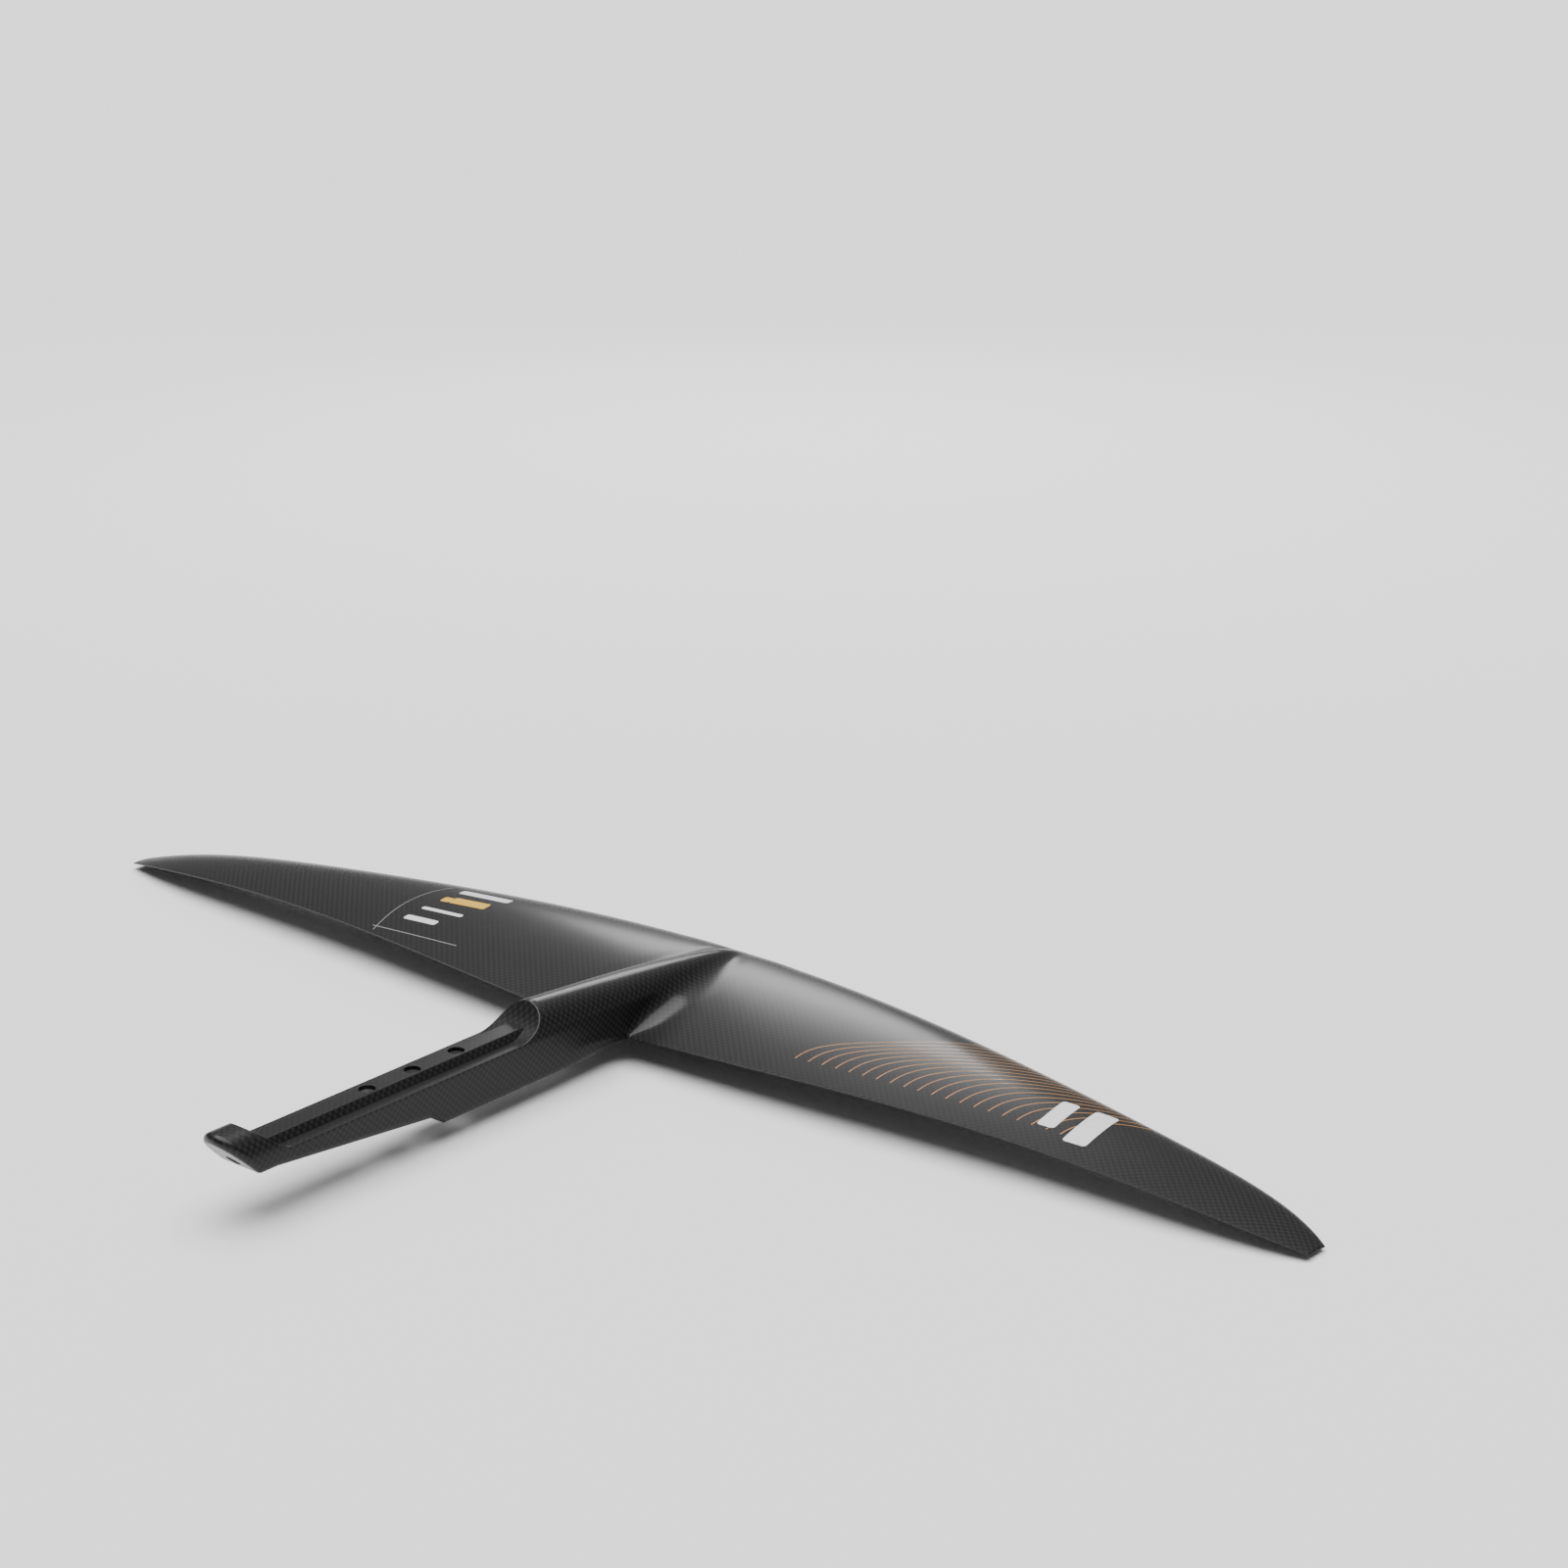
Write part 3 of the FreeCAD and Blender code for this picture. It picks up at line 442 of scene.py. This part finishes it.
def floor_line(y):
    """Flat floor, rounded corner and lower side of the body, up to the crease."""
    crease = Vector((BODY_HALF + crease_bulge(y), crease_level(y)))
    floor = belly_level(y)
    flat = BODY_HALF - FLOOR_CORNER
    half = BODY_HALF + crease_bulge(y) * smooth_step((y - BULGE_LOW_START) / BULGE_LOW_RUN)
    corner = Vector((half, min(floor + FLOOR_CORNER, crease.y)))
    turn = bend(Vector((flat, floor)), OUTWARD, corner, UP, CORNER_STEPS)
    return flat_floor(flat, floor) + along_line(turn + [crease], INNER_COUNT - FLAT_COUNT)


def aft_place(column, row):
    """The body between the joint with the tongue and the wing's tail, from ridge to belly."""
    if row == BODY_ROWS:
        point = tail_row(column)
        return Vector((point.x, TAIL_Y, point.y))
    y = JOINT_Y + (TAIL_Y - JOINT_Y) * row / BODY_ROWS
    if column <= INNER_COUNT:
        point = side_line(y)[column]
    else:
        point = floor_line(y)[2 * INNER_COUNT - column]
    return Vector((point.x, y, point.y))


def strip_place(column, row):
    """The narrow strip that closes the trailing edge."""
    return wing_place(span_x(column + INNER_COUNT, edge_reach(1.0)), 1.0, 1 if row else -1)


print("the body behind the wing is", round(TAIL_Y - JOINT_Y, 1), "mm long")

# %% [markdown]
# Only one half is woven.  A mirrored copy makes the other, so both wings match exactly.  Points that
# meet are merged, the open end at the joint is capped, and the normals are turned outward.  The finished
# shell is one closed skin, smooth except where two faces meet at more than the sharp angle.

# %% Close the shell
WELD = 0.004
MIRROR_WELD = 0.002
SHARP_ANGLE = math.radians(38.0)


def finished(bm, name, replaced=()):
    """Turns a bmesh in millimetres into a named piece that rides on the part."""
    bmesh.ops.scale(bm, vec=(MM, MM, MM), verts=bm.verts)
    mesh = bpy.data.meshes.new(name)
    bm.to_mesh(mesh)
    bm.free()
    mesh.shade_smooth()
    mesh.set_sharp_from_angle(angle=SHARP_ANGLE)
    piece = bpy.data.objects.new(name, mesh)
    bpy.context.scene.collection.objects.link(piece)
    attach(piece, "root")
    if replaced:
        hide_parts(*replaced)
    print(name, "has", len(mesh.polygons), "faces")
    return piece


shell = bmesh.new()
woven(shell, TOTAL_COUNT, CHORD_COUNT, sheet_place(upper_lines, 1))
woven(shell, TOTAL_COUNT, CHORD_COUNT, sheet_place(lower_lines, -1))
woven(shell, 2 * INNER_COUNT, BODY_ROWS, aft_place)
woven(shell, SPAN_COUNT, 1, strip_place)
bmesh.ops.remove_doubles(shell, verts=shell.verts, dist=WELD)
for vert in shell.verts:
    if abs(vert.co.x) < 0.01:
        vert.co.x = 0.0
half_wing = shell.verts[:] + shell.edges[:] + shell.faces[:]
bmesh.ops.mirror(shell, geom=half_wing, axis="X", merge_dist=MIRROR_WELD)
bmesh.ops.remove_doubles(shell, verts=shell.verts, dist=WELD)
bmesh.ops.dissolve_degenerate(shell, dist=0.001, edges=shell.edges)
rim = [edge for edge in shell.edges if edge.is_boundary]
bmesh.ops.contextual_create(shell, geom=rim)
bmesh.ops.recalc_face_normals(shell, faces=shell.faces)
wing = finished(shell, "wing_and_fairing", ("upper_skin", "lower_skin", "fairing_shell"))

# %% [markdown]
# Light and camera come before the finishes, because a gloss coat shows little but what it reflects.  A
# wide overhead light whitens the floor without showing in the wing.  The world stays dim, so the carbon
# looks black.  One soft window behind the wing gives the long highlight across its near half.

# %% Camera, floor and light
CAMERA_PLACE = (1.12555, -1.07734, 0.67228)
CAMERA_TURN = (math.radians(71.198), 0.0, math.radians(39.648))
SENSOR = 36.0
LENS = 80.1
FLOOR_GAP = 0.002
FLOOR_HALF = 6.0
WINDOW_PLACE = (-0.95, 1.47, 0.70)
WINDOW_TARGET = (0.12, 0.19, 0.0)


def into_scene(name, data):
    item = bpy.data.objects.new(name, data)
    bpy.context.scene.collection.objects.link(item)
    return item


def add_camera():
    data = bpy.data.cameras.new("camera")
    data.sensor_width = SENSOR
    data.lens = LENS
    camera = into_scene("camera", data)
    camera.location = CAMERA_PLACE
    camera.rotation_euler = CAMERA_TURN
    bpy.context.scene.camera = camera


def add_lights():
    world = bpy.data.worlds.new("studio")
    world.use_nodes = True
    background = world.node_tree.nodes["Background"]
    background.inputs["Color"].default_value = (1.0, 1.0, 1.0, 1.0)
    background.inputs["Strength"].default_value = 0.2
    bpy.context.scene.world = world
    overhead = bpy.data.lights.new("overhead", "SUN")
    overhead.energy = 5.0
    overhead.angle = math.radians(70.0)
    into_scene("overhead", overhead)
    window = bpy.data.lights.new("window", "AREA")
    window.shape = "RECTANGLE"
    window.size = 0.5
    window.size_y = 0.4
    window.energy = 4.4
    lamp = into_scene("window", window)
    lamp.location = WINDOW_PLACE
    aim = Vector(WINDOW_TARGET) - Vector(WINDOW_PLACE)
    lamp.rotation_euler = aim.to_track_quat("-Z", "Y").to_euler()


def add_floor():
    bm = bmesh.new()
    bmesh.ops.create_grid(bm, x_segments=1, y_segments=1, size=FLOOR_HALF)
    bmesh.ops.translate(bm, vec=(0.0, 0.0, cad_bounds[0][2] - FLOOR_GAP), verts=bm.verts)
    mesh = bpy.data.meshes.new("floor")
    bm.to_mesh(mesh)
    bm.free()
    floor = into_scene("floor", mesh)
    material = bpy.data.materials.new("floor_white")
    material.use_nodes = True
    shader = material.node_tree.nodes["Principled BSDF"]
    shader.inputs["Base Color"].default_value = (0.94, 0.94, 0.94, 1.0)
    shader.inputs["Roughness"].default_value = 0.9
    shader.inputs["Specular IOR Level"].default_value = 0.0
    mesh.materials.append(material)


add_camera()
add_floor()
add_lights()
print("camera at", CAMERA_PLACE)

# %% [markdown]
# Materials here are small networks of nodes.  Wiring nodes by hand is wordy, so a helper adds a node and
# connects it in one line.  Plain numbers are typed into the sockets and only changing values are wired.

# %% Helper for materials
class Nodes:
    """Small helper that adds nodes to a material and wires them in one line."""

    def __init__(self, name):
        self.material = bpy.data.materials.new(name)
        self.material.use_nodes = True
        self.tree = self.material.node_tree
        self.shader = self.tree.nodes["Principled BSDF"]

    def link(self, source, target):
        if isinstance(source, (int, float)):
            target.default_value = source
        else:
            self.tree.links.new(source, target)

    def math(self, operation, first, second=0.0):
        node = self.tree.nodes.new("ShaderNodeMath")
        node.operation = operation
        self.link(first, node.inputs[0])
        self.link(second, node.inputs[1])
        return node.outputs[0]

    def mix(self, share, first, second):
        """Blend of two numbers."""
        return self.math("ADD", self.math("MULTIPLY", first, self.math("SUBTRACT", 1.0, share)),
                         self.math("MULTIPLY", second, share))

    def ramp(self, value, start, start_color, end, end_color):
        """Colour that changes from one to the other between two values."""
        node = self.tree.nodes.new("ShaderNodeValToRGB")
        self.link(value, node.inputs[0])
        first, last = node.color_ramp.elements
        first.position, first.color = start, start_color
        last.position, last.color = end, end_color
        return node.outputs[0]

    def noise(self, scale, detail=2.0):
        place = self.tree.nodes.new("ShaderNodeTexCoord")
        node = self.tree.nodes.new("ShaderNodeTexNoise")
        node.inputs["Scale"].default_value = scale
        node.inputs["Detail"].default_value = detail
        self.link(place.outputs["Object"], node.inputs["Vector"])
        return node.outputs["Fac"]

    def bumps(self, height, distance, strength):
        """Small relief on the surface."""
        node = self.tree.nodes.new("ShaderNodeBump")
        node.inputs["Strength"].default_value = strength
        node.inputs["Distance"].default_value = distance
        self.link(height, node.inputs["Height"])
        self.link(node.outputs[0], self.shader.inputs["Normal"])

    def colors(self, value):
        self.link(value, self.shader.inputs["Base Color"])

    def rough(self, level, spread, value):
        """Roughness that rises from a level with a changing value."""
        changing = self.math("ADD", level, self.math("MULTIPLY", value, spread))
        self.link(changing, self.shader.inputs["Roughness"])


def grey(level, blue=1.0):
    return (level, level, level * blue, 1.0)


print("materials so far:", len(bpy.data.materials))

# %% [markdown]
# The cloth under the coat is a plain weave: flat tows pass over and under each other, so a fine
# staggered pattern of dots shows.  A picture of cloth would be the quick way, but it would need a file
# and would stretch.  We build the pattern from two sine waves instead.  It is laid from above on surfaces
# that face up and from the side on upright ones, so it doesn't smear on either.  The coat is set weaker
# on upright sides, so that the bright floor doesn't wash them out.

# %% Clear-coated carbon cloth
TOW = 1.95
UPRIGHT_FACE = 0.72
SIDE_COAT = 0.3
CLOTH_DARK = 0.004
CLOTH_BUMP = 0.00006


def weave_places(nodes):
    """The two directions along the cloth, and how upright the surface is."""
    place = nodes.tree.nodes.new("ShaderNodeTexCoord")
    parts = nodes.tree.nodes.new("ShaderNodeSeparateXYZ")
    nodes.link(place.outputs["Object"], parts.inputs[0])
    geometry = nodes.tree.nodes.new("ShaderNodeNewGeometry")
    facing = nodes.tree.nodes.new("ShaderNodeSeparateXYZ")
    nodes.link(geometry.outputs["Normal"], facing.inputs[0])
    upright = nodes.math("ABSOLUTE", facing.outputs[0])
    sideways = nodes.math("GREATER_THAN", upright, UPRIGHT_FACE)
    across = nodes.mix(sideways, parts.outputs[0], parts.outputs[2])
    return across, parts.outputs[1], upright


def weave_dots(nodes, across, along, tow):
    """Value from 0 to 1 that is high where a lengthwise tow lies on top."""
    turn = math.pi / (tow * MM)
    wave_a = nodes.math("SINE", nodes.math("MULTIPLY", across, turn))
    wave_b = nodes.math("SINE", nodes.math("MULTIPLY", along, turn))
    return nodes.math("MULTIPLY", nodes.math("ADD", nodes.math("MULTIPLY", wave_a, wave_b), 1.0), 0.5)


def carbon(name, tow, contrast, roughness, coat_roughness, coat):
    nodes = Nodes(name)
    across, along, upright = weave_places(nodes)
    dots = weave_dots(nodes, across, along, tow)
    drift = nodes.math("MULTIPLY", nodes.math("SUBTRACT", nodes.noise(18.0), 0.5), 0.25)
    level = nodes.math("ADD", dots, drift)
    dark = grey(CLOTH_DARK, 1.05)
    light = grey(CLOTH_DARK + contrast, 1.04)
    nodes.colors(nodes.ramp(level, 0.35, dark, 0.8, light))
    nodes.rough(roughness, 0.12, dots)
    nodes.bumps(dots, CLOTH_BUMP, 0.6)
    nodes.link(nodes.mix(upright, coat, SIDE_COAT * coat), nodes.shader.inputs["Coat Weight"])
    nodes.shader.inputs["Coat Roughness"].default_value = coat_roughness
    nodes.shader.inputs["Specular IOR Level"].default_value = 0.12
    return nodes.material


def wear(piece, material):
    """Gives a piece one finish."""
    piece.data.materials.clear()
    piece.data.materials.append(material)


cloth = carbon("carbon_cloth", TOW, 0.012, 0.5, 0.24, 0.7)
wear(wing, cloth)
print("tows are", TOW, "mm wide")

# %% [markdown]
# The graphics are thin marks on the cloth: fine orange lines that sweep toward the leading edge on one wing,
# and a grey frame with a few plain bars on the other.  The bars stand where the maker prints badges and
# lettering, which this model leaves out.  Each mark is a grid laid along a path and lifted a little off
# the wing, so it follows the surface exactly and costs few faces.

# %% Marks that follow the wing
LINE_LIFT = 0.05
BAR_LIFT = 0.1
BAR_COLUMNS = 24
BAR_ROWS = 10


def on_top(x, y, lift):
    """Place just above the wing's top, from its place in plan."""
    share = span_share(abs(x))
    forward = lead_edge(share)[0]
    t = min(1.0, max(0.0, (forward - y) / (forward - trail_edge(share))))
    return Vector((x, y, wing_place(abs(x), t, 1).z + lift))


def add_line(bm, path, width, count):
    """Ribbon of one width along path(share), a formula for places in plan."""
    def place(column, row):
        before = Vector(path(max(0.0, (column - 0.5) / count)))
        ahead = Vector(path(min(1.0, (column + 0.5) / count)))
        way = (ahead - before).normalized()
        aside = width * (row - 0.5)
        here = path(column / count)
        return on_top(here[0] - way.y * aside, here[1] + way.x * aside, LINE_LIFT)
    woven(bm, count, 1, place)


def add_bar(bm, center, length, width, turn, corner):
    """Filled bar with rounded corners, turned in plan."""
    angle = math.radians(turn)

    def place(column, row):
        along = -math.cos(math.pi * column / BAR_COLUMNS) * length / 2.0
        into = max(0.0, abs(along) - (length / 2.0 - corner)) / corner
        half = width / 2.0 - corner + corner * math.sqrt(max(0.0, 1.0 - into * into))
        across = half * (2.0 * row / BAR_ROWS - 1.0)
        x = center[0] + along * math.cos(angle) - across * math.sin(angle)
        y = center[1] + along * math.sin(angle) + across * math.cos(angle)
        return on_top(x, y, BAR_LIFT)
    woven(bm, BAR_COLUMNS, BAR_ROWS, place)


def paint(name, color, roughness):
    nodes = Nodes(name)
    grain = nodes.noise(600.0, 3.0)
    pale = tuple(0.92 * part for part in color[:3]) + (1.0,)
    nodes.colors(nodes.ramp(grain, 0.35, pale, 0.65, color))
    nodes.rough(roughness, 0.1, grain)
    nodes.bumps(grain, 0.00001, 0.5)
    nodes.shader.inputs["Coat Weight"].default_value = 0.5
    return nodes.material


def painted(bm, name, material):
    """Finishes a set of marks, with their faces turned up."""
    bmesh.ops.recalc_face_normals(bm, faces=bm.faces)
    if sum(face.normal.z for face in bm.faces) < 0.0:
        bmesh.ops.reverse_faces(bm, faces=bm.faces)
    wear(finished(bm, name), material)


print("lines lie", LINE_LIFT, "mm above the cloth and bars", BAR_LIFT, "mm")

# %% [markdown]
# Twenty orange lines start in a row near the trailing edge.  Each leaves steeply, then bends outward and
# runs into the leading edge, the inner ones on a longer way than the outer ones.  One formula with the
# line's number in it draws them all, which keeps their spacing even.

# %% Orange lines
LINE_COUNT = 20
LINE_WIDTH = 0.55
LINE_STEPS = 48
FIRST_START = (110.0, 156.8)
START_STEP = (8.05, 0.62)
LONGEST_REACH = 68.0
REACH_LOSS = 2.0
MOST_STRAIGHT = 0.4
STRAIGHT_LOSS = 0.3
STRAIGHT_LINES = 12.0
STEEPNESS = 0.4
EDGE_MARGIN = 1.5


def stripe_path(number):
    start_x = FIRST_START[0] + START_STEP[0] * number
    start_y = FIRST_START[1] + START_STEP[1] * number
    reach = LONGEST_REACH - REACH_LOSS * number
    end_y = lead_edge(span_share(start_x + reach))[0] - EDGE_MARGIN
    straight = MOST_STRAIGHT - STRAIGHT_LOSS * min(1.0, number / STRAIGHT_LINES)

    def path(share):
        u = share * share
        rise = (1.0 - straight) * u ** STEEPNESS + straight * u * u
        return start_x + reach * u, start_y + (end_y - start_y) * rise
    return path


stripes = bmesh.new()
for number in range(LINE_COUNT):
    add_line(stripes, stripe_path(number), LINE_WIDTH, LINE_STEPS)
painted(stripes, "orange_lines", paint("paint_orange", (0.5, 0.24, 0.07, 1.0), 0.4))

# %% [markdown]
# The grey frame is one straight line and one bowed line that meet near the trailing edge.  The bars are
# plain rounded shapes, each given by its centre, length, width, turn and corner.

# %% Grey frame and plain bars
FRAME_STEPS = 40


def straight_path(share):
    return -185.7 + 58.7 * share, 152.3 + 5.3 * share


def bowed_path(share):
    return -182.0 - 8.2 * math.sin(2.6 * share), 148.8 + 66.0 * share


frame_lines = bmesh.new()
add_line(frame_lines, straight_path, LINE_WIDTH, FRAME_STEPS)
add_line(frame_lines, bowed_path, LINE_WIDTH * 0.8, FRAME_STEPS)
painted(frame_lines, "grey_lines", paint("paint_grey", grey(0.3), 0.4))
white_bars = bmesh.new()
add_bar(white_bars, (251.0, 184.0), 28.0, 9.5, 97.0, 2.0)
add_bar(white_bars, (270.5, 183.0), 36.0, 12.5, 97.0, 2.0)
add_bar(white_bars, (-159.1, 213.6), 34.0, 6.3, 7.0, 1.5)
add_bar(white_bars, (-162.9, 183.2), 28.0, 3.2, 6.0, 1.2)
add_bar(white_bars, (-166.0, 169.8), 22.0, 5.0, 6.0, 1.5)
painted(white_bars, "white_bars", paint("paint_white", grey(0.85), 0.35))
yellow_bars = bmesh.new()
add_bar(yellow_bars, (-158.2, 199.9), 24.0, 8.0, 8.0, 1.5)
add_bar(yellow_bars, (-173.0, 197.1), 6.0, 6.4, 8.0, 1.5)
painted(yellow_bars, "yellow_bars", paint("paint_yellow", (0.78, 0.45, 0.03, 1.0), 0.35))

# %% [markdown]
# The tongue, the hook and the metal inserts are right as the CAD has them, with their own rounded
# edges, so they stay and only get finishes.  So do the pieces inside the wing, which nobody sees until
# the part is cut open: foam, spar caps and fillers each get the surface such a material has.

# %% Finishes of the CAD pieces
def metal(name, level, roughness, lines):
    """Turned metal, with fine tool marks."""
    nodes = Nodes(name)
    grain = nodes.noise(lines, 4.0)
    nodes.colors(nodes.ramp(grain, 0.3, grey(level * 0.85), 0.7, grey(level)))
    nodes.rough(roughness, 0.2, grain)
    nodes.bumps(grain, 0.00002, 0.5)
    nodes.shader.inputs["Metallic"].default_value = 1.0
    return nodes.material


def grained(name, dark, light, scale, roughness, depth):
    """Matte finish with a speckle, for foam, filled resin and bare strands."""
    nodes = Nodes(name)
    speckle = nodes.noise(scale, 6.0)
    nodes.colors(nodes.ramp(speckle, 0.35, dark, 0.65, light))
    nodes.rough(roughness, 0.15, speckle)
    nodes.bumps(speckle, depth, 0.7)
    return nodes.material


foam_shade = (0.55, 0.48, 0.32, 1.0)
foam_light = (0.78, 0.72, 0.55, 1.0)
strand_dark = (0.012, 0.012, 0.013, 1.0)
strand_light = (0.04, 0.04, 0.042, 1.0)
resin_dark = (0.02, 0.02, 0.021, 1.0)
FINISH_OF_SLOT = {
    "skin_carbon": cloth,
    "fairing_carbon": cloth,
    "tongue_carbon": cloth,
    "spar_carbon": grained("spar_strands", strand_dark, strand_light, 900.0, 0.4, 0.00004),
    "web_laminate": carbon("carbon_web", 1.5, 0.03, 0.5, 0.5, 0.2),
    "filled_resin": grained("filled_resin", resin_dark, grey(0.07), 500.0, 0.55, 0.00008),
    "foam": grained("closed_cell_foam", foam_shade, foam_light, 1400.0, 0.8, 0.0001),
    "sleeve_metal": metal("turned_aluminium", 0.62, 0.3, 700.0),
    "insert_metal": metal("turned_steel", 0.5, 0.25, 900.0),
}
for entry in frame["record"]["subparts"]:
    piece = frame["nodes"][entry["node"]]
    for place in piece.material_slots:
        place.material = FINISH_OF_SLOT[entry["material_slot"]]
